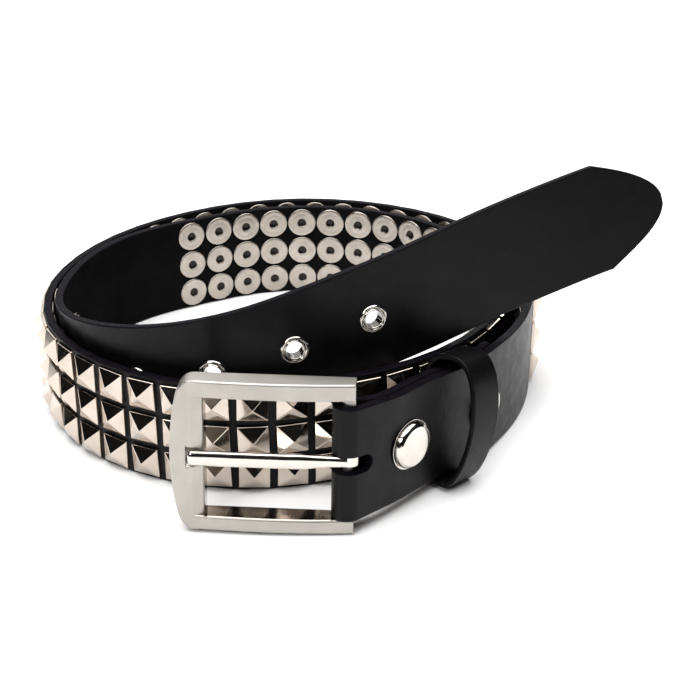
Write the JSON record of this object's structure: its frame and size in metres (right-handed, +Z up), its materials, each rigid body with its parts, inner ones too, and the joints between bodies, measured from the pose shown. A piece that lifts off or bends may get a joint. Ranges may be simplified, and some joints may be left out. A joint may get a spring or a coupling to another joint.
{
  "type": "studded leather belt",
  "caption": "Black leather waist belt lying coiled on its edge, its outer face covered with rows of square pyramid studs, with a prong buckle, a keeper loop and a pointed free end with eyelets",
  "frame": {"origin": "on the floor, below the middle of the whole outline", "axes": "+Z up across the strap's width, +X from the buckle's bowed bar towards the strap's free end, -Y towards the side with the buckle"},
  "size_m": [0.2249, 0.2077, 0.0899],
  "materials": {
    "strap_leather": "smooth black leather, low sheen",
    "keeper_leather": "smooth black leather, low sheen",
    "stud_nickel": "polished nickel plate",
    "buckle_nickel": "satin nickel plate",
    "tongue_nickel": "polished nickel plate",
    "snap_nickel": "polished nickel plate",
    "eyelet_nickel": "polished nickel plate"
  },
  "bodies": {
    "belt": {"strap": "strap_leather", "stud_field": "stud_nickel", "keeper_loop": "keeper_leather", "snap_1": "snap_nickel", "snap_2": "snap_nickel", "eyelet_1": "eyelet_nickel", "eyelet_2": "eyelet_nickel", "eyelet_3": "eyelet_nickel", "eyelet_4": "eyelet_nickel", "eyelet_5": "eyelet_nickel", "eyelet_6": "eyelet_nickel", "eyelet_7": "eyelet_nickel"},
    "frame": {"buckle_frame": "buckle_nickel"},
    "tongue": {"buckle_tongue": "tongue_nickel"}
  },
  "joints": [
    {"name": "frame_pivot", "type": "hinge", "parent": "belt", "child": "frame", "pos_m": [0.0021, -0.09735, 0.02423], "axis": [0.0174, 0.0754, 0.997], "range_deg": [-15, 45]},
    {"name": "tongue_hinge", "type": "hinge", "parent": "frame", "child": "tongue", "pos_m": [0.0021, -0.09735, 0.02423], "axis": [0.0174, 0.0754, 0.997], "range_deg": [0, 75]}
  ]
}
